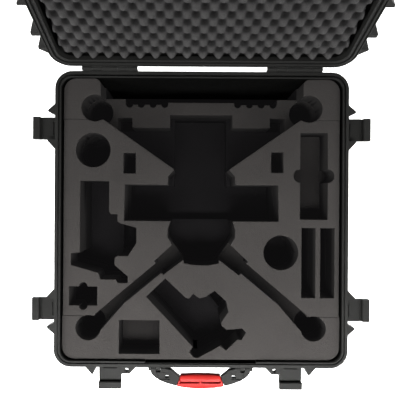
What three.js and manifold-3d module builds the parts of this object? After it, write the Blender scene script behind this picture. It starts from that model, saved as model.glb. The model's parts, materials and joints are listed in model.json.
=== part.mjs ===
// Drone carrying case: a square moulded shell on two wheels, open on its back, with cut foam inside.
// Millimetres, +Z up, +X right, +Y towards the hinges. The origin is the middle of the underside.

import * as THREE from 'three';
import { mergeVertices } from 'three/addons/utils/BufferGeometryUtils.js';
import Module from 'manifold-3d';

const wasm = await Module();
wasm.setup();

// ---------- driving dimensions ----------
const gap = 0.3; // clearance between touching pieces
const rimZ = 290; // parting plane of base and lid
const rimX = 304; // half width of the rim
const rimY = 306; // half length of the rim
const rimR = 36; // corner radius of the rim
const bandInset = 9; // how far the walls stand in from the rim's edge
const bandHeight = 24; // height of the base's rim band
const lidBandHeight = 26; // height of the lid's rim band
const wall = 4.4; // wall thickness
const lipWidth = 2.2; // sealing lip around the tub's mouth
const lipHeight = 2.6; // above the parting plane
const grooveWidth = 4.6; // groove in the rim's top, outside the lip
const grooveDepth = 3;
const draft = 8; // how far the base walls lean in by the bottom
const floorZ = 6; // underside of the moulded shell
const floorTop = 12; // inside floor
const lidDepth = 95; // height of the lid above the parting plane
const openAngle = 111.3; // how far the lid is open at rest, in degrees
const hingeY = 311.5; // hinge axis
const hingeX = 191; // centre of each hinge
const knuckleR = 4.7;
const pinR = 2;
const latchAlong = 189.5; // centre of each latch from the middle of its side
const latchHalf = 23.5; // half width of a latch
const latchPivotV = -3.5; // latch pivot, outward from the rim's edge
const latchPivotW = -11; // latch pivot, up from the parting plane
const foamTop = 286; // top of the upper foam blocks
const upperZ = 236; // top of the middle foam sheet
const middleZ = 190; // top of the lower foam sheet
const lowerZ = 160; // top of the foam base, the floor of the deepest pockets
const channelHalf = 100; // half width of the pull handle's recess
const channelTop = 28;
const tubeX = 70; // centre of each pull tube
const wheelX = 235;
const wheelY = 272;
const wheelZ = 27.5;
const wheelR = 26;
const round = 6; // segments on a quarter circle

// ---------- materials ----------
function paint(color, roughness, metalness = 0) {
  return new THREE.MeshStandardMaterial({ color, roughness, metalness });
}

const shellPlastic = paint(0x232321, 0.55);
const latchPlastic = paint(0x2a2a28, 0.45);
const gripRubber = paint(0xc8201a, 0.6);
const sealRubber = paint(0x0c0c0c, 0.8);
const foamGrey = paint(0x3c3a37, 0.95);
const foamDark = paint(0x262624, 0.95);
const steel = paint(0x8a8a88, 0.35, 1);
const tyreRubber = paint(0x151515, 0.85);

// ---------- solids ----------
function solid(geometry) {
  const plain = geometry.index ? geometry.clone() : geometry;
  plain.deleteAttribute('normal');
  plain.deleteAttribute('uv');
  const merged = mergeVertices(plain, 1e-4);
  const vertProperties = new Float32Array(merged.attributes.position.array);
  const triVerts = new Uint32Array(merged.index.array);
  return new wasm.Manifold(new wasm.Mesh({ numProp: 3, vertProperties, triVerts }));
}

function geometryOf(body) {
  const mesh = body.getMesh();
  const geometry = new THREE.BufferGeometry();
  geometry.setAttribute('position', new THREE.BufferAttribute(mesh.vertProperties, 3));
  geometry.setIndex(new THREE.BufferAttribute(mesh.triVerts, 1));
  return geometry;
}

function join(bodies) {
  return bodies.reduce((sum, body) => sum.add(body));
}

function cut(body, tools) {
  return tools.reduce((rest, tool) => rest.subtract(tool), body);
}

function box(x, y, z) {
  const geometry = new THREE.BoxGeometry(x[1] - x[0], y[1] - y[0], z[1] - z[0]);
  geometry.translate((x[0] + x[1]) / 2, (y[0] + y[1]) / 2, (z[0] + z[1]) / 2);
  return solid(geometry);
}

function rod(axis, centre, radius, length, sides = 24) {
  const geometry = new THREE.CylinderGeometry(radius, radius, length, sides);
  if (axis === 'x') geometry.rotateZ(Math.PI / 2);
  if (axis === 'z') geometry.rotateX(Math.PI / 2);
  geometry.translate(...centre);
  return solid(geometry);
}

function polygon(points) {
  return new THREE.Shape(points.map(([x, y]) => new THREE.Vector2(x, y)));
}

function roundedRect(halfX, halfY, radius) {
  const shape = new THREE.Shape();
  shape.absarc(halfX - radius, halfY - radius, radius, 0, Math.PI / 2);
  shape.absarc(radius - halfX, halfY - radius, radius, Math.PI / 2, Math.PI);
  shape.absarc(radius - halfX, radius - halfY, radius, Math.PI, 1.5 * Math.PI);
  shape.absarc(halfX - radius, radius - halfY, radius, 1.5 * Math.PI, 2 * Math.PI);
  shape.closePath();
  return shape;
}

// A prism whose sides move in by inset(z) at height z, with a ring of vertices at each of the levels.
function prism(shape, levels, inset = null) {
  const low = levels[0];
  const high = levels[levels.length - 1];
  const steps = levels.length - 1;
  const geometry = new THREE.ExtrudeGeometry(shape, {
    depth: high - low,
    steps,
    bevelEnabled: false,
    curveSegments: round,
  });
  const position = geometry.attributes.position;
  for (let i = 0; i < position.count; i += 1) {
    const level = Math.round((position.getZ(i) / (high - low)) * steps);
    const z = levels[level];
    const shift = inset ? inset(z) : 0;
    position.setX(i, position.getX(i) - Math.sign(position.getX(i)) * shift);
    position.setY(i, position.getY(i) - Math.sign(position.getY(i)) * shift);
    position.setZ(i, z);
  }
  return solid(geometry);
}

function plate(points, low, high) {
  return prism(polygon(points), [low, high]);
}

function mirrored(points) {
  return points.map(([x, y]) => [-x, y]);
}

// ---------- the scene graph ----------
const caseGroup = new THREE.Group();
const lidTurn = new THREE.Group();
const lidParts = new THREE.Group();
lidTurn.position.set(0, hingeY, rimZ);
lidTurn.rotation.x = THREE.MathUtils.degToRad(-openAngle);
lidParts.position.set(0, -hingeY, -rimZ);
lidTurn.add(lidParts);
caseGroup.add(lidTurn);

function place(name, body, material, parent = caseGroup) {
  const mesh = new THREE.Mesh(geometryOf(body), material);
  mesh.name = name;
  parent.add(mesh);
  return mesh;
}

// ---------- latch stations ----------
// u runs along the rim, v outward from its edge and w up from the parting plane.
const stations = [
  { name: 'front_left', x: -latchAlong, y: -rimY, turn: 0, ear: -1, padlock: true },
  { name: 'front_right', x: latchAlong, y: -rimY, turn: 0, ear: 1, padlock: true },
  { name: 'left_rear', x: -rimX, y: latchAlong, turn: -90, ear: -1, padlock: false },
  { name: 'left_front', x: -rimX, y: -latchAlong, turn: -90, ear: 1, padlock: false },
  { name: 'right_rear', x: rimX, y: latchAlong, turn: 90, ear: 1, padlock: false },
  { name: 'right_front', x: rimX, y: -latchAlong, turn: 90, ear: -1, padlock: false },
];

function atStation(station, body) {
  return body.rotate([0, 0, station.turn]).translate([station.x, station.y, rimZ]);
}

// A plan outline in u and v, from one height to another; u is counted away from the ear.
function stationPlate(station, points, low, high) {
  return plate(points.map(([u, v]) => [-station.ear * u, -v]), low, high);
}

function stationBox(u, v, w) {
  return box(u, [-v[1], -v[0]], w);
}

function latchEar(station) {
  return stationPlate(station, [[-49, -4], [-49, 0], [-36, 15], [-33, 15], [-26, 0], [-26, -4]], -23.5, -1);
}

function latchFairing(station) {
  if (station.padlock) {
    const tab = stationPlate(station, [[25, -4], [25, 14], [42, 14], [56, 0], [56, -4]], -12, -1);
    return tab.subtract(rod('z', [-station.ear * 36.5, -6, -6], 4, 20));
  }
  return stationPlate(station, [[25, -4], [25, 16], [28, 16], [45, 0], [45, -4]], -23.5, -1);
}

function latchNotch() {
  return stationBox([-latchHalf - 1, latchHalf + 1], [-8.4, 1], [-bandHeight - 6, -6]);
}

function latchBore() {
  return rod('x', [0, -latchPivotV, latchPivotW], pinR + gap, 2 * latchHalf + 20, 16);
}

// ---------- base shell ----------
const wallX = rimX - bandInset;
const wallY = rimY - bandInset;
const innerX = wallX - wall;
const innerY = wallY - wall;

function baseDraft(z) {
  const chamfer = Math.max(0, floorZ + 8 - z) * 0.9;
  return (draft * (rimZ - z)) / (rimZ - floorZ) + chamfer;
}

function ring(outer, inner, radius, low, high) {
  const outside = prism(roundedRect(outer[0], outer[1], radius), [low, high]);
  const step = outer[0] - inner[0];
  return outside.subtract(prism(roundedRect(inner[0], inner[1], radius - step), [low - 1, high + 1]));
}

function baseRibs() {
  const ribs = [];
  const low = 16;
  const high = rimZ - bandHeight;
  const halfWidth = 4;
  for (const side of [-1, 1]) {
    for (const along of [-262, -236, -140, -114, 114, 140, 236, 262]) {
      const reach = [side * 282, side * 299].sort((a, b) => a - b);
      ribs.push(box(reach, [along - halfWidth, along + halfWidth], [low, high]));
    }
    for (const along of [150, 124]) {
      ribs.push(box([side * along - halfWidth, side * along + halfWidth], [-301, -284], [low, high]));
      ribs.push(box([side * along - halfWidth, side * along + halfWidth], [284, 301], [low, high]));
    }
  }
  return ribs;
}

function wheelHousings() {
  return [-1, 1].map((side) => box([side * wheelX - 23, side * wheelX + 23], [236, 287], [floorZ, 63]));
}

function wheelWells() {
  return [-1, 1].flatMap((side) => [
    box([side * wheelX - 17, side * wheelX + 17], [242, 312], [-2, 58]),
    rod('x', [side * wheelX, wheelY, wheelZ], 4 + gap, 60),
  ]);
}

const handlePivot = { v: 7, w: -13 };
const handleLugs = [[84, 92], [104.6, 109]];

function frontLugs() {
  return [-1, 1].flatMap((side) => handleLugs.map(([near, far]) => {
    const x = [side * near, side * far].sort((a, b) => a - b);
    const centre = [(x[0] + x[1]) / 2, -rimY - handlePivot.v, rimZ + handlePivot.w];
    const web = box(x, [centre[1], -rimY + 4], [centre[2] - 5, centre[2] + 5]);
    return web.add(rod('x', centre, 5, far - near, 24)).subtract(rod('x', centre, 2.7 + gap, 20, 20));
  }));
}

const sidePivot = { v: -6.2, z: 228, along: 81 };

function sideLugs() {
  return [-1, 1].flatMap((side) => [-1, 1].map((end) => {
    const reach = [side * 288, side * 301.5].sort((a, b) => a - b);
    const along = [end * sidePivot.along - 6, end * sidePivot.along + 6];
    return box(reach, along, [sidePivot.z - 9, sidePivot.z + 9]);
  }));
}

function sideBores() {
  return [-1, 1].map((side) => {
    const centre = [side * (rimX + sidePivot.v), 0, sidePivot.z];
    return rod('y', centre, 2 + gap, 190, 16);
  });
}

function knuckles(spans, low, high) {
  return [-1, 1].flatMap((side) => spans.map(([from, to]) => {
    const centre = [side * hingeX + (from + to) / 2, hingeY, rimZ];
    const web = box([side * hingeX + from, side * hingeX + to], [rimY - 4, hingeY], [low, high]);
    return web.add(rod('x', centre, knuckleR, to - from));
  }));
}

const lidKnuckles = [[-35.6, -15.9], [15.9, 35.6]];

// A leaf under the knuckles that closes the gap between the rim and the hinge.
// It is lower below the lid's knuckles.
function hingeLeaves() {
  return [-1, 1].map((side) => {
    const x = [side * hingeX - 57, side * hingeX + 57];
    const leaf = box(x, [rimY - 4, hingeY - 1], [rimZ - 22, rimZ - 6.5]);
    return cut(leaf, lidKnuckles.map(([from, to]) => {
      return box([side * hingeX + from, side * hingeX + to], [rimY, hingeY], [rimZ - 9, rimZ]);
    }));
  });
}

function hingeBores() {
  return [-1, 1].map((side) => rod('x', [side * hingeX, hingeY, rimZ], pinR + gap, 130, 16));
}

const lipR = 22; // corner radius of the lip's inner edge

function sealingLip() {
  const outer = [innerX + lipWidth, innerY + lipWidth];
  return ring(outer, [innerX, innerY], lipR + lipWidth, rimZ - 2, rimZ + lipHeight);
}

function rimGroove() {
  const near = [innerX + lipWidth, innerY + lipWidth];
  const far = lipWidth + grooveWidth;
  return ring([innerX + far, innerY + far], near, lipR + far, rimZ - grooveDepth, rimZ + 5);
}

function buildBaseShell() {
  const tubLevels = [floorZ, floorZ + 8, rimZ - 1];
  const bandInsetAt = (z) => Math.max(0, rimZ - bandHeight - z);
  const additions = [
    prism(roundedRect(wallX, wallY, rimR - 4), tubLevels, baseDraft),
    prism(roundedRect(rimX, rimY, rimR), [rimZ - bandHeight - 4, rimZ - bandHeight, rimZ], bandInsetAt),
    sealingLip(),
    ...baseRibs(),
    ...sideLugs(),
    ...frontLugs(),
    ...knuckles([[-57, -36], [-15.5, 15.5], [36, 57]], rimZ - 8, rimZ - gap),
    ...hingeLeaves(),
    ...stations.map((s) => atStation(s, latchEar(s))),
    ...stations.map((s) => atStation(s, latchFairing(s))),
  ];
  const insideInset = (z) => (draft * Math.max(0, upperZ - z)) / (upperZ - floorTop);
  const cavityLevels = [floorTop, upperZ, rimZ + 9];
  const cavity = prism(roundedRect(innerX, innerY, rimR - 12), cavityLevels, insideInset);
  const inserts = [
    box([-channelHalf - 6, channelHalf + 6], [-287, 207], [floorZ + 1, channelTop + 6]),
    ...wheelHousings(),
  ];
  const openings = [
    box([-channelHalf, channelHalf], [-320, 201], [-2, channelTop]),
    ...wheelWells(),
    ...sideBores(),
    ...hingeBores(),
    rimGroove(),
    box([-115, 115], [-297.4, -288], [rimZ - 25, rimZ + 10]),
    rod('y', [0, -292, 205], 6 + gap, 30),
    ...stations.map((s) => atStation(s, latchNotch())),
    ...stations.map((s) => atStation(s, latchBore())),
  ];
  const hollow = join(additions).subtract(cavity);
  return cut(join([hollow, ...inserts]), openings);
}

// ---------- lid shell, modelled closed ----------
function lidRibs() {
  const top = rimZ + lidDepth;
  return [-160, -80, 80, 160].map((x) => box([x - 9, x + 9], [-215, 215], [top - 2, top + 3]));
}

function lidEars(station) {
  const low = gap;
  const ears = [
    stationPlate(station, [[-80, -4], [-80, 0], [-69, 15], [-65, 15], [-65, -4]], low, 36),
    stationPlate(station, [[-36, -4], [-36, 16], [-28, 16], [-28, -4]], low, 38),
    stationPlate(station, [[31.5, -4], [31.5, 15], [35.5, 15], [49, 0], [49, -4]], low, 30),
  ];
  if (station.padlock) {
    const tab = stationPlate(station, [[29, -4], [29, 14], [42, 14], [56, 0], [56, -4]], low, 11);
    ears.push(tab);
  }
  return ears;
}

function padlockBore(station) {
  return rod('z', [-station.ear * 36.5, -6, 12], 4, 60);
}

function buildLidShell() {
  const low = rimZ + gap;
  const top = rimZ + lidDepth;
  const bandTop = rimZ + lidBandHeight;
  const lidInset = (z) => Math.max(0, (z - bandTop) * 0.07) + Math.max(0, z - top + 8) * 0.9;
  const cavityInset = (z) => Math.max(0, (z - bandTop) * 0.07);
  const bandInsetAt = (z) => (z > bandTop ? bandInset + 1 : 0);
  const outside = join([
    prism(roundedRect(rimX, rimY, rimR), [low, bandTop, bandTop + 0.2], bandInsetAt),
    prism(roundedRect(wallX, wallY, rimR - 4), [bandTop - 6, bandTop, top - 8, top], lidInset),
    ...lidRibs(),
    ...stations.flatMap((s) => lidEars(s).map((ear) => atStation(s, ear))),
    ...knuckles(lidKnuckles, rimZ + gap, rimZ + 7.5),
  ]);
  const hollows = [
    prism(roundedRect(wallX - 9, wallY - 9, rimR - 12), [rimZ - 1, rimZ + 13]),
    prism(roundedRect(wallX - wall, wallY - wall, rimR - 9), [rimZ + 12, bandTop, top - 5], cavityInset),
    ring([295.2, 297.2], [290, 292], rimR - 9, rimZ - 1, rimZ + 9),
    ring([302, 304], [299.5, 301.5], rimR - 2, rimZ - 1, rimZ + 3),
    ...hingeBores(),
    ...stations.filter((s) => s.padlock).map((s) => atStation(s, padlockBore(s))),
  ];
  return cut(outside, hollows);
}

// ---------- foam ----------
// Edge of the drone-shaped pocket on the right of the middle line, from the rear to the nose.
const bodyEdge = [
  [60.5, 106.5], [57.5, 102.5], [69.5, 89.5], [70.5, 72], [159.5, 72], [160.5, -3.5],
  [64, -3.5], [70, -21], [70, -37], [61, -53],
];
const noseEdge = [[37.5, -84], [35.5, -91], [18, -94.2], [0, -95]];
const armUpper = [[97.5, -87], [94, -91], [176, -160], [220.5, -198]];
const armLower = [[209, -232], [160.5, -175.5], [83, -111.4], [78, -115]];
const rearMotor = { x: 222.5, y: 231, r: 28 };
const frontMotor = { x: 234, y: -226, r: 26 };

const cameraPocket = [
  [-252, 79], [-192, 79], [-192, 16], [-188, 10], [-174.5, 10], [-174.5, -4.5], [-168, -9],
  [-137, -17], [-135, -19.5], [-135, -50], [-152.5, -76.5], [-176, -77], [-180, -81],
  [-180, -95.5], [-152.5, -119], [-152.5, -133], [-173, -133], [-177, -125.5], [-209, -125.5],
  [-212.5, -114], [-215, -111.5], [-270.5, -96], [-270.5, -72], [-252, -70],
];
const cameraWell = [[-176, -14], [-143, -18], [-138, -22], [-138, -50], [-153, -73], [-176, -73]];
const remotePocket = [
  [-74, -123], [-31.5, -163], [-24, -164.5], [-16, -154.5], [-3, -164], [10.5, -160.5],
  [28.5, -148], [52.5, -169.5], [57.5, -192], [42.5, -213.5], [43.5, -220.5], [54, -229],
  [86, -226], [94.5, -234.5], [85, -250], [76.5, -249], [53, -271.5], [41, -262],
  [-5.5, -287.5], [-14, -286.5], [-23.5, -275.5], [-16, -265], [-113.5, -161],
];
const remoteWell = [[12, -166], [28, -151], [49, -171], [54, -192], [44, -206]];

function motorWell(motor, side, low, high) {
  return rod('z', [side * motor.x, motor.y, (low + high) / 2], motor.r, high - low, 40);
}

function motorWells(low, high) {
  return [-1, 1].flatMap((side) => [
    motorWell(rearMotor, side, low, high),
    motorWell(frontMotor, side, low, high),
  ]);
}

function roundPocket(x, y, low, high, radius = 36) {
  return rod('z', [x, y, (low + high) / 2], radius, high - low, 40);
}

function rectPocket(x, y, low, high) {
  return box(x, y, [low, high]);
}

// Pockets that pass through the upper blocks and the middle sheet alike.
function deepPockets(low, high) {
  const height = [low, high];
  return [
    roundPocket(-225.5, 143.5, ...height),
    rectPocket([-162.5, -137], [95, 138], ...height),
    plate(cameraPocket, ...height),
    rectPocket([-274, -215.5], [-180, -140.5], ...height),
    roundPocket(-244.5, -140, ...height, 8.5),
    roundPocket(-244.5, -180.5, ...height, 8.5),
    rectPocket([144.5, 170], [98, 141], ...height),
    roundPocket(165.7, -68, ...height),
    rectPocket([208.5, 237.5], [-162, -16.5], ...height),
    rectPocket([247.5, 277], [-162, -16.5], ...height),
    plate(remotePocket, ...height),
  ];
}

function shallowPockets(low, high) {
  return [
    rectPocket([205, 262], [1, 181.5], low, high),
    roundPocket(205, 92, low, high, 14),
    roundPocket(262, 92, low, high, 14),
    rectPocket([-170, -85.5], [-280, -210], low, high),
  ];
}

function foamBlock(outline, tools) {
  const body = plate(outline, upperZ + gap, foamTop);
  return cut(body, tools);
}

// Points round an outer corner on the right side, going clockwise; end is 1 at the rear and -1 at the front.
function cornerArc(x, y, radius, end) {
  const points = [];
  for (let i = 0; i <= round; i += 1) {
    const turned = ((end > 0 ? round - i : -i) / round) * (Math.PI / 2);
    const centreY = y - end * radius;
    points.push([x - radius + radius * Math.cos(turned), centreY + radius * Math.sin(turned)]);
  }
  return points;
}

// Points round the corner between the rear edge and the slot, going clockwise.
function slotArc(x, y, radius) {
  const points = [];
  for (let i = 0; i <= round; i += 1) {
    const turned = Math.PI * (1 - i / round / 2);
    points.push([x + radius + radius * Math.cos(turned), y - radius + radius * Math.sin(turned)]);
  }
  return points;
}

function cornerBlock(side) {
  const slotCorner = slotArc(210.5, 292.2, 13);
  const right = [[210.5, 207.5], ...slotCorner, ...cornerArc(287, 292.2, 26, 1), [287, 207.5]];
  const outline = side > 0 ? right.slice().reverse() : mirrored(right);
  return foamBlock(outline, [motorWell(rearMotor, side, upperZ - 1, foamTop + 1)]);
}

function middleOutline() {
  return [[286.5, 207], [205, 207], ...bodyEdge, ...armUpper, [220.5, -201], [286.5, -201]];
}

function frontOutline() {
  const corner = cornerArc(288, -291, 26, -1).reverse();
  const right = [...corner, [288, -201.5], [236, -201.5], [214, -236], ...armLower, ...noseEdge];
  const left = mirrored(right.slice(0, -1)).reverse();
  return [...right, ...left];
}

// Rear edge of the middle sheet, with the finger notches of the rear slot.
function middleSheetOutline() {
  const right = [[0, 255.5], [73, 255.5], [73, 251], [167, 251], [167, 262.5], [210, 262.5], [210, 287.5]];
  const half = [...right, ...cornerArc(285.5, 287.5, 24, 1), ...cornerArc(285.5, -287.5, 24, -1)];
  return [...half, ...mirrored(half.slice(1)).reverse()];
}

function rearNotches(low, high) {
  return [-1, 1].flatMap((side) => [0, 1, 2, 3].map((i) => {
    return roundPocket(side * (80.5 + 26 * i), 251.5, low, high, 7.5);
  }));
}

function bodyHole(low, high) {
  const right = [
    [0, 228], [69, 228], [69, 199.5], [152, 199.5], [152, 221.5], [185, 221.5], [185, 194],
    ...bodyEdge, ...noseEdge,
  ];
  const left = mirrored(right.slice(1, -1)).reverse();
  return plate([...right, ...left], low, high);
}

function buildFoam() {
  const through = [upperZ - 1, foamTop + 1];
  const wells = motorWells(...through);
  const pockets = [...deepPockets(...through), ...shallowPockets(...through)];
  const right = middleOutline();
  place('foam_rear_left', cornerBlock(-1), foamGrey);
  place('foam_rear_right', cornerBlock(1), foamGrey);
  place('foam_left', foamBlock(mirrored(right), [...wells, ...pockets]), foamGrey);
  place('foam_right', foamBlock(right, [...wells, ...pockets]), foamGrey);
  place('foam_front', foamBlock(frontOutline(), [...wells, ...pockets]), foamGrey);

  const sheet = [middleZ - 1, upperZ + 1];
  const middle = plate(middleSheetOutline(), middleZ + gap, upperZ);
  const middleTools = [
    bodyHole(...sheet), ...deepPockets(...sheet), ...motorWells(...sheet), ...rearNotches(...sheet),
  ];
  place('foam_middle', cut(middle, middleTools), foamGrey);

  const depth = [lowerZ - 1, middleZ + 1];
  const lower = prism(roundedRect(284, 286, 24), [lowerZ + gap, middleZ]);
  const lowerTools = [
    box([-210, 210], [255.5, 290], depth),
    box([-160, 160], [-3.5, 72], depth),
    box([-60, 60], [-3.5, 226], depth),
    ...[-1, 1].map((side) => box([side * 152, side * 185].sort((a, b) => a - b), [199.5, 221.5], depth)),
    plate(cameraWell, ...depth),
    plate(remoteWell, ...depth),
  ];
  place('foam_lower', cut(lower, lowerTools), foamDark);

  const base = prism(roundedRect(281, 283, 24), [floorTop + gap, lowerZ]);
  const baseTools = [
    box([-channelHalf - 7, channelHalf + 7], [-290, 208], [floorTop - 1, channelTop + 6 + gap]),
    ...[-1, 1].map((side) => box([side * 211, side * 290].sort((a, b) => a - b), [235, 290], [0, 64])),
  ];
  place('foam_base', cut(base, baseTools), foamDark);

  const lidPad = prism(roundedRect(283, 285.5, 22), [rimZ + 4, rimZ + lidDepth - 5 - gap]);
  place('lid_foam', lidPad, foamGrey, lidParts);
}

// ---------- hinges and latches ----------
function buildHinges() {
  for (const [name, side] of [['left', -1], ['right', 1]]) {
    const pin = rod('x', [side * hingeX, hingeY, rimZ], pinR, 114, 16);
    place(`hinge_pin_${name}`, pin, steel);
  }
}

// A side view (v to the right, w up) drawn along u, centred on the station.
function sideExtrusion(shape, width, curveSegments) {
  const geometry = new THREE.ExtrudeGeometry(shape, { depth: width, bevelEnabled: false, curveSegments });
  geometry.translate(0, 0, -width / 2);
  const basis = new THREE.Matrix4().makeBasis(
    new THREE.Vector3(0, -1, 0),
    new THREE.Vector3(0, 0, 1),
    new THREE.Vector3(-1, 0, 0),
  );
  geometry.applyMatrix4(basis);
  return solid(geometry);
}

// Side view of a latch lying open: v to the right and w up, with the bore in its knuckle.
function latchProfile() {
  const shape = new THREE.Shape();
  shape.moveTo(1, latchPivotW);
  shape.lineTo(1, -15);
  shape.lineTo(31, -15);
  shape.lineTo(32, -16.6);
  shape.lineTo(34.5, -16.6);
  shape.lineTo(34.5, -10);
  shape.lineTo(36, -8.5);
  shape.lineTo(47.5, -8.5);
  shape.lineTo(50, -11);
  shape.lineTo(50, -18);
  shape.lineTo(48, -20);
  shape.lineTo(-4, -20);
  shape.lineTo(-7, -17);
  shape.lineTo(-8, latchPivotW);
  shape.absarc(latchPivotV, latchPivotW, 4.5, Math.PI, 0, true);
  const bore = new THREE.Path();
  bore.absarc(latchPivotV, latchPivotW, pinR + gap, 0, 2 * Math.PI);
  shape.holes.push(bore);
  return shape;
}

const buttonSpan = { u: 13.6, low: 3, high: 8 };

function latchBody() {
  const body = sideExtrusion(latchProfile(), 2 * latchHalf, 8);
  const { u, low, high } = buttonSpan;
  return body.subtract(stationBox([-u - 0.4, u + 0.4], [low - 0.4, high + 0.4], [-22, -14]));
}

function latchButton() {
  const { u, low, high } = buttonSpan;
  return stationBox([-u, u], [low, high], [-21, -17.2]);
}

function buildLatches() {
  for (const station of stations) {
    const pin = rod('x', [0, -latchPivotV, latchPivotW], pinR, 2 * latchHalf + 18, 16);
    place(`latch_${station.name}`, atStation(station, latchBody()), latchPlastic);
    place(`latch_button_${station.name}`, atStation(station, latchButton()), shellPlastic);
    place(`latch_pin_${station.name}`, atStation(station, pin), steel);
  }
}

// ---------- front handle ----------
const armR = 6; // half thickness of the handle's arms

function handleArm(side) {
  const shape = new THREE.Shape();
  shape.moveTo(104, -handlePivot.v);
  shape.lineTo(103, -14);
  shape.quadraticCurveTo(95, -31, 50.5, -41);
  shape.lineTo(43, -23);
  shape.lineTo(61, -8.5);
  shape.lineTo(73.3, -5.6);
  shape.lineTo(104, -5.6);
  const points = shape.getPoints(8).map((p) => [side * p.x, p.y]);
  const arm = plate(points, handlePivot.w - armR, handlePivot.w + armR);
  const middle = side * 88.65;
  const root = rod('x', [middle, -handlePivot.v, handlePivot.w], armR, 30.7, 24);
  const fork = [side * 83.4, side * 92.6].sort((a, b) => a - b);
  return cut(arm.add(root), [
    rod('x', [middle, -handlePivot.v, handlePivot.w], 2.7 + gap, 60, 20),
    box(fork, [-13.2, 2], [-30, 0]),
    box([side * 70 - 3.5, side * 70 + 3.5], [-25.5, -20.5], [-30, 0]),
    box([side * 77 - 13, side * 77 + 13], [-28, -14], [handlePivot.w + 4, 0]),
  ]);
}

// Plan of the grip at its middle height: splayed ends and bowed sides, drawn smaller by the given inset.
function gripPlan(inset) {
  const shape = new THREE.Shape();
  shape.moveTo(-41 + inset, -19.2 - inset);
  shape.quadraticCurveTo(0, -16 - inset, 41 - inset, -19.2 - inset);
  shape.lineTo(49 - inset, -40.4 + inset);
  shape.quadraticCurveTo(0, -53 + inset, -49 + inset, -40.4 + inset);
  shape.closePath();
  return shape;
}

// The grip from the side, outward and up, drawn along the handle's width.
function gripSection() {
  const shape = new THREE.Shape();
  shape.moveTo(16, -15);
  shape.quadraticCurveTo(16.5, -5.5, 25.5, -3.2);
  shape.quadraticCurveTo(34, -1.6, 42, -4);
  shape.quadraticCurveTo(47.5, -6, 48, -12);
  shape.quadraticCurveTo(47.5, -19.5, 40, -19.5);
  shape.lineTo(23, -19.5);
  shape.quadraticCurveTo(16.5, -19.5, 16, -15);
  return sideExtrusion(shape, 120, round);
}

function buildFrontHandle() {
  const bar = box([-56, 56], [-37, -26], [-16, -9]);
  const hollow = prism(gripPlan(-gap), [-40, 10]).subtract(box([-60, 60], [-37, -26], [-16, -9]));
  const arms = handleArm(-1).add(handleArm(1));
  const frame = arms.subtract(hollow).add(bar);
  place('front_handle_frame', frame.translate([0, -rimY, rimZ]), shellPlastic);

  const sleeve = prism(gripPlan(0), [-30, 0]).intersect(gripSection());
  const grip = cut(sleeve, [
    box([-60, 60], [-37 - gap, -26 + gap], [-16 - gap, -9 + gap]),
    box([-42, -2.2], [-34, -27], [-7.4, 0]),
    box([2.2, 42], [-34, -27], [-7.4, 0]),
  ]);
  place('front_handle_grip', grip.translate([0, -rimY, rimZ]), gripRubber);

  for (const [name, side] of [['left', -1], ['right', 1]]) {
    const centre = [side * 91.5, -rimY - handlePivot.v, rimZ + handlePivot.w];
    place(`front_handle_pin_${name}`, rod('x', centre, 2.7, 34, 20), steel);
  }
}

// ---------- side handles ----------
function buildSideHandles() {
  for (const [name, side] of [['left', -1], ['right', 1]]) {
    const pivotX = side * (rimX + sidePivot.v);
    const thick = [pivotX - 3.6, pivotX + 3.6];
    const outline = box(thick, [-74.4, 74.4], [162, sidePivot.z]);
    const rootRod = rod('y', [pivotX, 0, sidePivot.z], 3.6, 148.8, 20);
    const handle = cut(outline.add(rootRod), [
      box([pivotX - 10, pivotX + 10], [-58, 58], [180, sidePivot.z + 10]),
      rod('y', [pivotX, 0, sidePivot.z], 2 + gap, 190, 16),
    ]);
    place(`side_handle_${name}`, handle, shellPlastic);
    for (const [where, end] of [['front', -1], ['rear', 1]]) {
      const pin = rod('y', [pivotX, end * 74, sidePivot.z], 2, 26, 16);
      place(`side_handle_pin_${name}_${where}`, pin, steel);
    }
  }
}

// ---------- wheels ----------
function lathe(points, x, y, z) {
  const geometry = new THREE.LatheGeometry(points.map(([r, h]) => new THREE.Vector2(r, h)), 36);
  geometry.rotateZ(Math.PI / 2);
  geometry.translate(x, y, z);
  return solid(geometry);
}

function buildWheels() {
  const hubProfile = [
    [4.3, -13], [9, -13], [10, -9], [17, -9], [17, 9], [10, 9], [9, 13], [4.3, 13], [4.3, -13],
  ];
  const tyreProfile = [
    [17.3, -12], [23, -12], [wheelR, -8], [wheelR, 8], [23, 12], [17.3, 12], [17.3, -12],
  ];
  for (const [name, side] of [['left', -1], ['right', 1]]) {
    const centre = [side * wheelX, wheelY, wheelZ];
    place(`wheel_axle_${name}`, rod('x', centre, 4, 45.4), steel);
    place(`wheel_hub_${name}`, lathe(hubProfile, ...centre), shellPlastic);
    place(`wheel_tyre_${name}`, lathe(tyreProfile, ...centre), tyreRubber);
  }
}

// ---------- pull handle under the base ----------
function rectTube(x, z, half, wallT, from, to) {
  const outer = box([x - half[0], x + half[0]], [from, to], [z - half[1], z + half[1]]);
  const inside = [half[0] - wallT, half[1] - wallT];
  const bore = box([x - inside[0], x + inside[0]], [from - 1, to + 1], [z - inside[1], z + inside[1]]);
  return outer.subtract(bore);
}

function buildPullHandle() {
  const tubeZ = 18.7;
  for (const [name, side] of [['left', -1], ['right', 1]]) {
    place(`pull_guide_${name}`, rectTube(side * tubeX, tubeZ, [13, 9], 2.7, -262, 196), shellPlastic);
    place(`pull_tube_${name}`, rectTube(side * tubeX, tubeZ, [10, 6], 1.8, -284, 190), steel);
  }
  const grip = box([-92, 92], [-300, -284 - gap], [9.5, 27.5]);
  const pocket = box([-14.4, 14.4], [-301, -289], [12.6, 23.4]);
  place('pull_grip', grip.subtract(pocket), shellPlastic);
  place('pull_button', box([-14, 14], [-302, -292.5], [13, 23]), gripRubber);
  const plateX = channelHalf - gap;
  const cover = box([-plateX, plateX], [-235, 200.7], [5, 9.3]).add(box([-20, 20], [-225, 188], [0, 6]));
  place('channel_cover', cover, shellPlastic);
}

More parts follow.
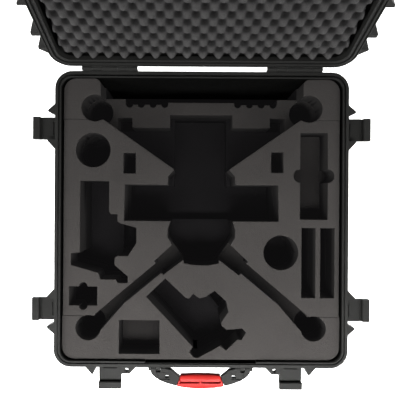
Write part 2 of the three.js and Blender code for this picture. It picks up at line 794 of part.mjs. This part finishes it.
// ---------- small parts ----------
function buildFeet() {
  const spots = [
    ['front_left', -190, -235],
    ['front_right', 190, -235],
    ['rear_left', -170, 190],
    ['rear_right', 170, 190],
  ];
  for (const [name, x, y] of spots) {
    place(`foot_${name}`, rod('z', [x, y, (floorZ - gap) / 2], 13, floorZ - gap, 28), sealRubber);
  }
}

function buildValve() {
  const profile = [[0, 0], [6, 0], [6, 4.9], [13, 4.9], [13, 7.5], [11, 9.5], [0, 9.5]];
  const geometry = new THREE.LatheGeometry(profile.map(([r, h]) => new THREE.Vector2(r, h)), 28);
  geometry.rotateX(Math.PI);
  geometry.translate(0, -290.4, 205);
  place('pressure_valve', solid(geometry), shellPlastic);
}

function buildSeal() {
  const seal = ring([294.8, 296.8], [290.4, 292.4], rimR - 9.4, rimZ + lipHeight + 1, rimZ + 8.6);
  place('lid_seal', seal, sealRubber, lidParts);
}

place('base_shell', buildBaseShell(), shellPlastic);
place('lid_shell', buildLidShell(), shellPlastic, lidParts);
buildSeal();
buildFoam();
buildHinges();
buildLatches();
buildFrontHandle();
buildSideHandles();
buildWheels();
buildPullHandle();
buildFeet();
buildValve();

export default caseGroup;
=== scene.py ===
"""Drone carrying case, standing open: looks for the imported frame. Metres, +Z up, hinges at +Y."""

import json
import math

import bmesh
import bpy
from mathutils import Matrix, Vector, noise
from mathutils.geometry import delaunay_2d_cdt


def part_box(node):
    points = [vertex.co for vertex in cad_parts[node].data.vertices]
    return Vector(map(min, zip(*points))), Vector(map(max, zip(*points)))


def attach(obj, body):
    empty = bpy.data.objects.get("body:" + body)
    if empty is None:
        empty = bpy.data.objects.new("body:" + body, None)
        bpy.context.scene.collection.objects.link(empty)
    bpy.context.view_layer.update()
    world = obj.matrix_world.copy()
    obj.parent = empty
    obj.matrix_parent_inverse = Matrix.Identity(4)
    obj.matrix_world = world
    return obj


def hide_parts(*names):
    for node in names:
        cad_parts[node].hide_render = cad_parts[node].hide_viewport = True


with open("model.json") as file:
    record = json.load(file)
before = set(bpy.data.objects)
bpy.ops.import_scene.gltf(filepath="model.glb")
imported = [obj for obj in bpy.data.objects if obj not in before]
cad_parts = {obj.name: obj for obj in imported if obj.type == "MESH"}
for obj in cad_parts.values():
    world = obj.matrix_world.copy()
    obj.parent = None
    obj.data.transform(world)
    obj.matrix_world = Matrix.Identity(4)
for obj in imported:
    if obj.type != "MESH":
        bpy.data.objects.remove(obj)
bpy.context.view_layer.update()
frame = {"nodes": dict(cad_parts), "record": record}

# ---------- the case's own sizes ----------
RIM_Z = 0.290
HINGE = Vector((0.0, 0.3115, RIM_Z))  # a point on the lid's hinge axis
OPEN_ANGLE = math.radians(111.3)
WELD_DISTANCE = 0.00002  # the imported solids' split vertices lie closer than this

TUB_REACH = 0.27  # the tub's inner walls stand further out than this
TUB_TOP = 0.2885  # underside of the lip
TUB_SHADE = 0.16  # painted shade: tone of the walls inside, against the shell's own

EGG_PITCH_X = 0.0314  # from one lobe to the next in a row
EGG_PITCH_Y = 0.0335
EGG_HEIGHT = 0.0158  # valley to tip
EGG_TIP = 0.0024  # tips behind the rim plane
EGG_JITTER = 0.0012
EGG_HALF_X = 0.2785
EGG_HALF_Y = 0.2850
EGG_CORNER = 0.022  # radius of the slab's corners in plan
EGG_RINGS = (0.03, 0.06, 0.0895)  # depths of the slab's side, the last at its back
EGG_STEPS = 176

FOAM_EDGE = 0.0012  # how far a foam sheet's upper edges are rounded
FOAM_GRID = 0.014  # spacing of the points that let its top sag
FOAM_GRID_CLEARANCE = 0.004  # those points keep this far from an outline
FOAM_SAG = 0.0009
FOAM_PAINTED_GLOW = 0.004  # painted light: the cut foam's own glow, so that deep pockets are not pure black
FACES_UP = 0.9  # least normal z of a flat top
OPPOSITE = -0.2  # edges face each other when their normals' dot product is below this
THIN_SHARE = 0.4  # an outline moves in by at most this share of a thin wall
MITRE_LIMIT = 0.45

LOBE_PAINTED_SHADE = [(0.0, 1.0), (0.34, 0.92), (0.64, 0.3), (1.0, 0.24)]  # painted shade, from tip to valley
REAR_FADE = (0.10, 0.20)  # y over which the painted tone goes from the shade in front to the light behind
REAR_PAINTED_LIGHT_AND_SHADE = (0.55, 1.15)
PLASTIC_GLOSS = 0.035
RUBBER_GLOSS = 0.25
FLOOR_Z = -0.0004
FLOOR_HALF = 12
FLOOR_GLOW = 0.85  # the floor's own light, so that it is as white as the photo's ground
WORLD_LIGHT = 0.09

# ---------- node materials ----------


def new_material(name):
    """A material with its nodes, links, Principled shader and object coordinates."""
    mat = bpy.data.materials.new(name)
    mat.use_nodes = True
    nodes = mat.node_tree.nodes
    shader = nodes["Principled BSDF"]
    coord = nodes.new("ShaderNodeTexCoord")
    return mat, nodes, mat.node_tree.links, shader, coord.outputs["Object"]


def noise_node(nodes, links, coord, scale, detail, rough=0.55):
    node = nodes.new("ShaderNodeTexNoise")
    node.inputs["Scale"].default_value = scale
    node.inputs["Detail"].default_value = detail
    node.inputs["Roughness"].default_value = rough
    links.new(coord, node.inputs["Vector"])
    return node.outputs["Fac"]


def cells_node(nodes, links, coord, scale):
    node = nodes.new("ShaderNodeTexVoronoi")
    node.inputs["Scale"].default_value = scale
    links.new(coord, node.inputs["Vector"])
    return node.outputs["Distance"]


def ramp(nodes, links, value, stops):
    """A colour ramp; stops are (position, linear rgb or one grey value), in order."""
    node = nodes.new("ShaderNodeValToRGB")
    elements = node.color_ramp.elements
    elements[0].position = stops[0][0]
    elements[1].position = stops[-1][0]
    for position, _ in stops[1:-1]:
        elements.new(position)
    for element, (_, color) in zip(elements, stops):
        rgb = color if isinstance(color, tuple) else (color,) * 3
        element.color = (*rgb, 1.0)
    links.new(value, node.inputs["Fac"])
    return node.outputs["Color"]


def bump(nodes, links, height, distance, strength, normal=None):
    node = nodes.new("ShaderNodeBump")
    node.inputs["Distance"].default_value = distance
    node.inputs["Strength"].default_value = strength
    links.new(height, node.inputs["Height"])
    if normal is not None:
        links.new(normal, node.inputs["Normal"])
    return node.outputs["Normal"]


def math_node(nodes, links, kind, operation, first, second):
    """A math node of either kind; second is a constant or another node's output."""
    node = nodes.new(kind)
    node.operation = operation
    links.new(first, node.inputs[0])
    if isinstance(second, bpy.types.NodeSocket):
        links.new(second, node.inputs[1])
    else:
        node.inputs[1].default_value = second
    return node.outputs


def number_math(nodes, links, operation, first, second):
    return math_node(nodes, links, "ShaderNodeMath", operation, first, second)["Value"]


def vector_math(nodes, links, operation, first, second):
    outputs = math_node(nodes, links, "ShaderNodeVectorMath", operation, first, second)
    return outputs["Value" if operation == "DOT_PRODUCT" else "Vector"]


def split_xyz(nodes, links, vector):
    node = nodes.new("ShaderNodeSeparateXYZ")
    links.new(vector, node.inputs["Vector"])
    return node.outputs


def map_range(nodes, links, value, source, target=(0.0, 1.0)):
    node = nodes.new("ShaderNodeMapRange")
    node.inputs["From Min"].default_value, node.inputs["From Max"].default_value = source
    node.inputs["To Min"].default_value, node.inputs["To Max"].default_value = target
    links.new(value, node.inputs["Value"])
    return node.outputs["Result"]


def multiply(nodes, links, first, second):
    node = nodes.new("ShaderNodeMix")
    node.data_type = "RGBA"
    node.blend_type = "MULTIPLY"
    node.inputs["Factor"].default_value = 1.0
    links.new(first, node.inputs["A"])
    links.new(second, node.inputs["B"])
    return node.outputs["Result"]


def drift(nodes, links, value, color, dark, light):
    """The colour, drifting with the value from dark to light times itself."""
    stops = [(0.3, tuple(c * dark for c in color)), (0.7, tuple(c * light for c in color))]
    return ramp(nodes, links, value, stops)


def true_normal(nodes):
    return nodes.new("ShaderNodeNewGeometry").outputs["True Normal"]


def tub_wall_painted_shade(nodes, links, coord, skin):
    """Painted shade on the tub's walls inside, darker below the lip: the faces that look at the
    middle of the case.
    """
    inward = vector_math(nodes, links, "MULTIPLY", true_normal(nodes), (-1.0, -1.0, 0.0))
    reach = vector_math(nodes, links, "DOT_PRODUCT", inward, coord)
    facing = number_math(nodes, links, "GREATER_THAN", reach, TUB_REACH)
    below = number_math(nodes, links, "LESS_THAN", split_xyz(nodes, links, coord)["Z"], TUB_TOP)
    inside = number_math(nodes, links, "MULTIPLY", facing, below)
    tone = ramp(nodes, links, inside, [(0.0, 1.0), (1.0, TUB_SHADE)])
    return multiply(nodes, links, skin, tone)


def moulded_plastic(name, color, roughness, tub=False):
    """Injection-moulded plastic: spark-eroded grain, faint tone drift and rubbed patches."""
    mat, nodes, links, shader, coord = new_material(name)
    slow = noise_node(nodes, links, coord, 7.0, 4.0)
    skin = drift(nodes, links, slow, color, 0.86, 1.14)
    # painted shade on the tub's inner walls
    if tub:
        skin = tub_wall_painted_shade(nodes, links, coord, skin)
    links.new(skin, shader.inputs["Base Color"])
    patches = noise_node(nodes, links, coord, 38.0, 5.0, 0.65)
    rough = ramp(nodes, links, patches, [(0.3, roughness - 0.07), (0.75, roughness + 0.09)])
    links.new(rough, shader.inputs["Roughness"])
    grain = noise_node(nodes, links, coord, 1400.0, 2.0)
    links.new(bump(nodes, links, grain, 0.00012, 0.7), shader.inputs["Normal"])
    shader.inputs["Specular IOR Level"].default_value = PLASTIC_GLOSS
    return mat


def wall_painted_shade(nodes, links, skin, cut):
    """The sheet's skin on faces that look up, and painted shade on its cut walls, darker the less
    they face up.
    """
    up = split_xyz(nodes, links, true_normal(nodes))["Z"]
    return multiply(nodes, links, skin, ramp(nodes, links, up, [(0.35, cut), (0.8, 1.0)]))


def lobe_painted_shade(nodes, links, coord, skin):
    """Egg-crate foam: the skin's tone on the lobes' tips, and painted shade, far darker, in the
    valleys between them.
    """
    into_lid = (0.0, math.sin(OPEN_ANGLE), math.cos(OPEN_ANGLE))
    offset = vector_math(nodes, links, "SUBTRACT", coord, HINGE)
    along = vector_math(nodes, links, "DOT_PRODUCT", offset, into_lid)
    depth = map_range(nodes, links, along, (EGG_TIP, EGG_TIP + EGG_HEIGHT))
    return multiply(nodes, links, skin, ramp(nodes, links, depth, LOBE_PAINTED_SHADE))


def rear_painted_light_and_shade(nodes, links, coord, skin):
    """Painted light and shade: a sheet lighter behind, where it lies open, and darker under the
    upper blocks in front.
    """
    y = split_xyz(nodes, links, coord)["Y"]
    return multiply(nodes, links, skin, map_range(nodes, links, y, REAR_FADE, REAR_PAINTED_LIGHT_AND_SHADE))


def open_cell_foam(name, color, cut=1.0, lobes=False, sheen=0.15, rear_light_and_shade=False):
    """Polyurethane foam: open pores, soft tufts, a slow change of tone, painted shade in its
    hollows and a faint painted glow in its depths.
    """
    mat, nodes, links, shader, coord = new_material(name)
    slow = noise_node(nodes, links, coord, 9.0, 3.0)
    base = drift(nodes, links, slow, color, 0.9, 1.08)
    pores = cells_node(nodes, links, coord, 620.0)
    skin = multiply(nodes, links, base, ramp(nodes, links, pores, [(0.0, 0.55), (0.38, 1.08)]))
    # painted light behind and painted shade in front, under the upper blocks
    if rear_light_and_shade:
        skin = rear_painted_light_and_shade(nodes, links, coord, skin)
    # painted shade in the egg-crate's valleys, or on the cut walls
    if lobes:
        tone = lobe_painted_shade(nodes, links, coord, skin)
    else:
        # painted shade on the cut walls, as dark as cut says
        tone = wall_painted_shade(nodes, links, skin, cut)
        # painted light: the cut foam glows faintly
        shader.inputs["Emission Color"].default_value = (1.0, 0.95, 1.0, 1.0)
        shader.inputs["Emission Strength"].default_value = FOAM_PAINTED_GLOW
    links.new(tone, shader.inputs["Base Color"])
    tufts = noise_node(nodes, links, coord, 130.0, 4.0, 0.6)
    soft = bump(nodes, links, tufts, 0.0008, 0.5)
    links.new(bump(nodes, links, pores, 0.0005, 0.6, soft), shader.inputs["Normal"])
    shader.inputs["Roughness"].default_value = 0.95
    shader.inputs["Specular IOR Level"].default_value = sheen
    return mat


def rubber(name, color, roughness, pore_scale=900.0):
    mat, nodes, links, shader, coord = new_material(name)
    slow = noise_node(nodes, links, coord, 30.0, 3.0)
    links.new(drift(nodes, links, slow, color, 0.9, 1.08), shader.inputs["Base Color"])
    fine = noise_node(nodes, links, coord, pore_scale, 2.0)
    links.new(bump(nodes, links, fine, 0.0001, 0.6), shader.inputs["Normal"])
    shader.inputs["Roughness"].default_value = roughness
    shader.inputs["Specular IOR Level"].default_value = RUBBER_GLOSS
    return mat


def drawn_metal(name, color, roughness):
    """Drawn bar or tube, with fine lines along the case's width."""
    mat, nodes, links, shader, coord = new_material(name)
    mapping = nodes.new("ShaderNodeMapping")
    mapping.inputs["Scale"].default_value = (4.0, 90.0, 90.0)
    links.new(coord, mapping.inputs["Vector"])
    lines = noise_node(nodes, links, mapping.outputs["Vector"], 12.0, 4.0, 0.7)
    links.new(drift(nodes, links, lines, color, 0.85, 1.1), shader.inputs["Base Color"])
    links.new(bump(nodes, links, lines, 0.00004, 0.5), shader.inputs["Normal"])
    shader.inputs["Metallic"].default_value = 1.0
    shader.inputs["Roughness"].default_value = roughness
    return mat


SHELL_COLOR = (0.0215, 0.0215, 0.0206)
SHELL_ROUGHNESS = 0.42
MATERIALS = {
    "shell": moulded_plastic("case_plastic", SHELL_COLOR, SHELL_ROUGHNESS),
    # the tub's plastic, with painted shade on its inner walls
    "tub": moulded_plastic("tub_plastic_painted_shade", SHELL_COLOR, SHELL_ROUGHNESS, tub=True),
    "latch": moulded_plastic("latch_plastic", (0.0195, 0.0195, 0.0187), 0.4),
    "grip": rubber("red_rubber", (0.37, 0.013, 0.010), 0.5),
    "seal": rubber("black_rubber", (0.012, 0.012, 0.012), 0.6),
    "tyre": rubber("tyre_rubber", (0.018, 0.018, 0.018), 0.75, 500.0),
    # the third number sets the painted shade on the sheet's cut walls
    "foam": open_cell_foam("foam_grey", (0.033, 0.0305, 0.029), 0.36),
    # painted shade: the middle sheet, seen in the pockets, is a darker grey than the top sheet
    "foam_middle": open_cell_foam(
        "foam_middle_painted_shade", (0.0215, 0.02, 0.019), 0.4, sheen=0.08, rear_light_and_shade=True
    ),
    # painted shade: the deep sheet is far darker than the top sheet, for the depths of the pockets
    "foam_dark": open_cell_foam("foam_depth_painted_shade", (0.0055, 0.0052, 0.0055), 0.9, sheen=0.02),
    "lid_foam": open_cell_foam("foam_lid_painted_valley_shade", (0.062, 0.0605, 0.0605), lobes=True),
    "steel": drawn_metal("steel", (0.42, 0.42, 0.42), 0.35),
    "aluminium": drawn_metal("aluminium", (0.62, 0.62, 0.63), 0.3),
}

# ---------- carried-over hard pieces ----------
SLOTS = {part["node"]: part["material_slot"] for part in frame["record"]["subparts"]}
OWN_LOOKS = {"base_shell": "tub", "foam_middle": "foam_middle"}  # not their slot's look
BEVEL = {
    "shell": 0.00045,
    "tub": 0.00045,
    "latch": 0.0007,
    "grip": 0.0015,
    "steel": 0.0003,
    "tyre": 0.0012,
}
OTHER_BEVEL = 0.0005
FOAM_NODES = [name for name in frame["nodes"] if "foam" in name]


def look_of(node_name):
    return OWN_LOOKS.get(node_name, SLOTS[node_name])


def set_material(obj, mat):
    obj.data.materials.clear()
    obj.data.materials.append(mat)


def weight_normals(obj):
    normals = obj.modifiers.new("normals", "WEIGHTED_NORMAL")
    normals.keep_sharp = True


def soften(obj, width):
    """Joins the split vertices, rounds the edges and smooths across them."""
    weld = obj.modifiers.new("weld", "WELD")
    weld.merge_threshold = WELD_DISTANCE
    bevel = obj.modifiers.new("bevel", "BEVEL")
    bevel.width = width
    bevel.segments = 2
    bevel.limit_method = "ANGLE"
    bevel.angle_limit = math.radians(32)
    bevel.use_clamp_overlap = False
    bevel.miter_outer = "MITER_ARC"
    for polygon in obj.data.polygons:
        polygon.use_smooth = True
    weight_normals(obj)


for node_name, node_object in frame["nodes"].items():
    if node_name not in FOAM_NODES:
        set_material(node_object, MATERIALS[look_of(node_name)])
        soften(node_object, BEVEL.get(look_of(node_name), OTHER_BEVEL))

# ---------- cut foam ----------


def copy_solid(node_name):
    """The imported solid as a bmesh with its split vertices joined."""
    mesh = bmesh.new()
    mesh.from_mesh(frame["nodes"][node_name].data)
    bmesh.ops.remove_doubles(mesh, verts=mesh.verts, dist=WELD_DISTANCE)
    mesh.normal_update()
    return mesh


def top_loops(mesh):
    """The closed outlines of the solid's top face, each with the foam on its left."""
    following = {}
    for face in mesh.faces:
        if face.normal.z < FACES_UP:
            continue
        for loop in face.loops:
            if all(f is face or f.normal.z < FACES_UP for f in loop.edge.link_faces):
                assert loop.vert not in following
                following[loop.vert] = loop.link_loop_next.vert
    loops = []
    while following:
        vert = next(iter(following))
        points = []
        while vert in following:
            points.append(vert.co.to_2d())
            vert = following.pop(vert)
        loops.append(points)
    return loops


def edges_of(loops):
    return [(a, b) for loop in loops for a, b in zip(loop, loop[1:] + loop[:1])]


def segment_distance(point, a, b):
    along = max(0.0, min(1.0, (point - a).dot(b - a) / (b - a).length_squared))
    return (a + (b - a) * along - point).length


def left_of(a, b):
    step = (b - a).normalized()
    return Vector((-step.y, step.x))


def inset_loops(loops, distance):
    """Moves outlines into the foam, with mitred corners, and less where the foam is thin."""
    facing = [(a, b, left_of(a, b)) for a, b in edges_of(loops)]
    moved_loops = []
    for points in loops:
        moved = []
        for before, here, after in zip(points[-1:] + points[:-1], points, points[1:] + points[:1]):
            normal = left_of(before, here) + left_of(here, after)
            across = [
                segment_distance(here, a, b) for a, b, n in facing if n.dot(normal) < OPPOSITE
            ]
            reach = min([distance] + [THIN_SHARE * room for room in across])
            length = max(normal.length_squared / 2, MITRE_LIMIT)
            moved.append(here + normal * (reach / length))
        moved_loops.append(moved)
    return moved_loops


def is_inside(point, loops):
    inside = False
    for a, b in edges_of(loops):
        if (a.y > point.y) != (b.y > point.y):
            if point.x < a.x + (point.y - a.y) / (b.y - a.y) * (b.x - a.x):
                inside = not inside
    return inside


def grid_points(loops, spacing):
    """Points on a square grid inside the outlines, clear of their edges."""
    corners = [point for loop in loops for point in loop]
    low = Vector((min(p.x for p in corners), min(p.y for p in corners)))
    high = Vector((max(p.x for p in corners), max(p.y for p in corners)))
    edges = edges_of(loops)
    points = []
    for i in range(1, int((high.x - low.x) / spacing) + 1):
        for j in range(1, int((high.y - low.y) / spacing) + 1):
            point = low + Vector((i, j)) * spacing
            if is_inside(point, loops):
                if min(segment_distance(point, a, b) for a, b in edges) > FOAM_GRID_CLEARANCE:
                    points.append(point)
    return points


def fill_outlines(loops, extra):
    """Points and triangles that fill outlines with holes: the outlines' points, then the extra."""
    points = [point for loop in loops for point in loop] + extra
    edges = []
    first = 0
    for loop in loops:
        edges += [(first + i, first + (i + 1) % len(loop)) for i in range(len(loop))]
        first += len(loop)
    result = delaunay_2d_cdt(points, edges, [], 1, 1e-7)
    verts, triangles, origins = result[0], result[2], result[3]
    assert len(verts) == len(points)
    kept = []
    for triangle in triangles:
        middle = sum((verts[i] for i in triangle), Vector((0, 0))) / 3
        if is_inside(middle, loops):
            kept.append([origins[i][0] for i in triangle])
    return points, kept


def sag_at(x, y):
    place = Vector((x, y, 0.0))
    wave = noise.noise(place * 22.0) * 0.5 + noise.noise(place * 60.0) * 0.25
    return FOAM_SAG * (0.5 + wave)


def cut_sheet(node_name):
    """A sheet cut right through: rounded upper edges, and a top that is never quite flat."""
    low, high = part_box(node_name)
    source = copy_solid(node_name)
    loops = top_loops(source)
    source.free()
    mesh = bmesh.new()
    rings = []
    for inset, z, sag in (
        (0.0, low.z, 0.0),
        (0.0, high.z - FOAM_EDGE, 0.0),
        (0.3 * FOAM_EDGE, high.z - 0.3 * FOAM_EDGE, 1.0),
        (FOAM_EDGE, high.z, 1.0),
    ):
        ring = []
        for outline in inset_loops(loops, inset):
            ring.append([mesh.verts.new((p.x, p.y, z - sag * sag_at(p.x, p.y))) for p in outline])
        rings.append(ring)
    for lower, upper in zip(rings, rings[1:]):
        for a, b in zip(lower, upper):
            for i in range(len(a)):
                k = (i + 1) % len(a)
                mesh.faces.new((a[i], a[k], b[k], b[i]))
    for ring, is_top in ((rings[0], False), (rings[-1], True)):
        outlines = [[v.co.to_2d() for v in loop] for loop in ring]
        extra = grid_points(outlines, FOAM_GRID) if is_top else []
        points, triangles = fill_outlines(outlines, extra)
        verts = [v for loop in ring for v in loop]
        for p in points[len(verts):]:
            verts.append(mesh.verts.new((p.x, p.y, high.z - sag_at(p.x, p.y))))
        for triangle in triangles:
            corners = [verts[i] for i in triangle]
            mesh.faces.new(corners if is_top else corners[::-1])
    bmesh.ops.recalc_face_normals(mesh, faces=mesh.faces)
    for face in mesh.faces:
        face.smooth = True
    return mesh


def add_piece(name, mesh, material, body, replaced):
    data = bpy.data.meshes.new(name)
    mesh.to_mesh(data)
    mesh.free()
    obj = bpy.data.objects.new(name, data)
    bpy.context.scene.collection.objects.link(obj)
    set_material(obj, MATERIALS[material])
    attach(obj, body)
    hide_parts(*replaced)
    return obj


def cut_foam(node_name):
    """Stands for one foam node: the base as it is, with its pocket floors, the others cut anew."""
    mesh = copy_solid(node_name) if node_name == "foam_base" else cut_sheet(node_name)
    name, look, slot_name = node_name + "_cut", look_of(node_name), SLOTS[node_name]
    weight_normals(add_piece(name, mesh, look, "base", [node_name]))


for node_name in sorted(FOAM_NODES):
    if node_name != "lid_foam":
        cut_foam(node_name)

# ---------- egg-crate foam in the lid ----------


def egg_lobe(x, y):
    """0 in a valley, 1 on a tip: lobes in a chequer."""
    across = math.cos(2 * math.pi * x / EGG_PITCH_X)
    along = math.cos(2 * math.pi * (y - EGG_HALF_Y) / EGG_PITCH_Y)
    return 0.5 + 0.5 * across * along


def egg_depth(x, y):
    jitter = noise.noise(Vector((x * 40, y * 40, 3.0))) * EGG_JITTER
    return RIM_Z + EGG_TIP + EGG_HEIGHT * (1 - egg_lobe(x, y)) + jitter


def corner_pull(x, y):
    """Moves a grid point into the slab's rounded corner."""
    straight_x = EGG_HALF_X - EGG_CORNER
    straight_y = EGG_HALF_Y - EGG_CORNER
    over_x = abs(x) - straight_x
    over_y = abs(y) - straight_y
    if over_x <= 0 or over_y <= 0:
        return x, y
    square = max(over_x, over_y)
    length = math.hypot(over_x, over_y)
    return (
        math.copysign(straight_x + over_x * square / length, x),
        math.copysign(straight_y + over_y * square / length, y),
    )


def egg_crate():
    """The lobed slab, made over the closed base and then turned open with the lid."""
    mesh = bmesh.new()
    front = []
    for j in range(EGG_STEPS + 1):
        row = []
        for i in range(EGG_STEPS + 1):
            flat_x = (2 * i / EGG_STEPS - 1) * EGG_HALF_X
            flat_y = (2 * j / EGG_STEPS - 1) * EGG_HALF_Y
            x, y = corner_pull(flat_x, flat_y)
            row.append(mesh.verts.new((x, y, egg_depth(x, y))))
        front.append(row)
    for near, far in zip(front, front[1:]):
        for i in range(EGG_STEPS):
            mesh.faces.new((near[i], far[i], far[i + 1], near[i + 1]))
    border = [front[0][i] for i in range(EGG_STEPS)]
    border += [front[j][EGG_STEPS] for j in range(EGG_STEPS)]
    border += [front[EGG_STEPS][i] for i in range(EGG_STEPS, 0, -1)]
    border += [front[j][0] for j in range(EGG_STEPS, 0, -1)]
    levels = [border]
    for depth in EGG_RINGS:
        levels.append([mesh.verts.new((v.co.x, v.co.y, RIM_Z + depth)) for v in border])
    for upper, lower in zip(levels, levels[1:]):
        for i in range(len(border)):
            k = (i + 1) % len(border)
            mesh.faces.new((upper[i], upper[k], lower[k], lower[i]))
    mesh.faces.new(levels[-1])
    bmesh.ops.recalc_face_normals(mesh, faces=mesh.faces)
    closed_to_open = (
        Matrix.Translation(HINGE)
        @ Matrix.Rotation(-OPEN_ANGLE, 4, "X")
        @ Matrix.Translation(-HINGE)
    )
    bmesh.ops.transform(mesh, matrix=closed_to_open, verts=mesh.verts)
    for face in mesh.faces:
        face.smooth = len(face.verts) == 4  # all but the flat back
    return mesh


add_piece("lid_foam_egg_crate", egg_crate(), "lid_foam", "lid", ["lid_foam"])

# ---------- floor, light and camera ----------
floor_mesh = bpy.data.meshes.new("floor")
floor_mesh.from_pydata(
    [(x * FLOOR_HALF, y * FLOOR_HALF, FLOOR_Z) for x, y in ((-1, -1), (1, -1), (1, 1), (-1, 1))],
    [],
    [(0, 1, 2, 3)],
)
floor = bpy.data.objects.new("floor", floor_mesh)
bpy.context.scene.collection.objects.link(floor)
floor_material = bpy.data.materials.new("floor")
floor_material.use_nodes = True
floor_shader = floor_material.node_tree.nodes["Principled BSDF"]
floor_shader.inputs["Base Color"].default_value = (0.93, 0.93, 0.93, 1)
floor_shader.inputs["Roughness"].default_value = 0.9
floor_shader.inputs["Emission Color"].default_value = (1, 1, 1, 1)
floor_shader.inputs["Emission Strength"].default_value = FLOOR_GLOW
floor_mesh.materials.append(floor_material)

world = bpy.data.worlds.new("studio")
world.use_nodes = True
world.node_tree.nodes["Background"].inputs["Color"].default_value = (1, 1, 1, 1)
world.node_tree.nodes["Background"].inputs["Strength"].default_value = WORLD_LIGHT
bpy.context.scene.world = world


def area_light(name, place, target, size, power, spread=180):
    """A rectangular softbox that looks at the target; power in watts, spread in degrees."""
    light = bpy.data.lights.new(name, "AREA")
    light.shape = "RECTANGLE"
    light.size, light.size_y = size
    light.energy = power
    light.spread = math.radians(spread)
    obj = bpy.data.objects.new(name, light)
    obj.location = place
    aim = Vector(target) - Vector(place)
    obj.rotation_euler = aim.to_track_quat("-Z", "Y").to_euler()
    bpy.context.scene.collection.objects.link(obj)


area_light("left", (-1.8, -0.9, 1.25), (0, -0.1, 0.25), (1.4, 0.7), 45)
area_light("right", (1.8, -0.9, 1.25), (0, -0.1, 0.25), (1.4, 0.7), 36)
area_light("front", (0.0, -0.8, 1.55), (0, -0.75, 0.28), (1.4, 0.5), 21, 95)
area_light("floor_behind", (0.0, 1.6, 0.75), (0, 0.35, 0), (1.6, 0.5), 40)

# The photo looks straight down from about 0.8 m over the rim.
camera_data = bpy.data.cameras.new("camera")
camera_data.lens = 34.2
camera_data.sensor_width = 36.0
camera_data.shift_x = 0.03
camera = bpy.data.objects.new("camera", camera_data)
camera.location = (-0.028, 0.0405, 1.075)
camera.rotation_euler = (0, 0, math.radians(0.35))
bpy.context.scene.collection.objects.link(camera)
bpy.context.scene.camera = camera
bpy.context.scene.view_settings.view_transform = "Standard"
bpy.context.scene.view_settings.look = "None"
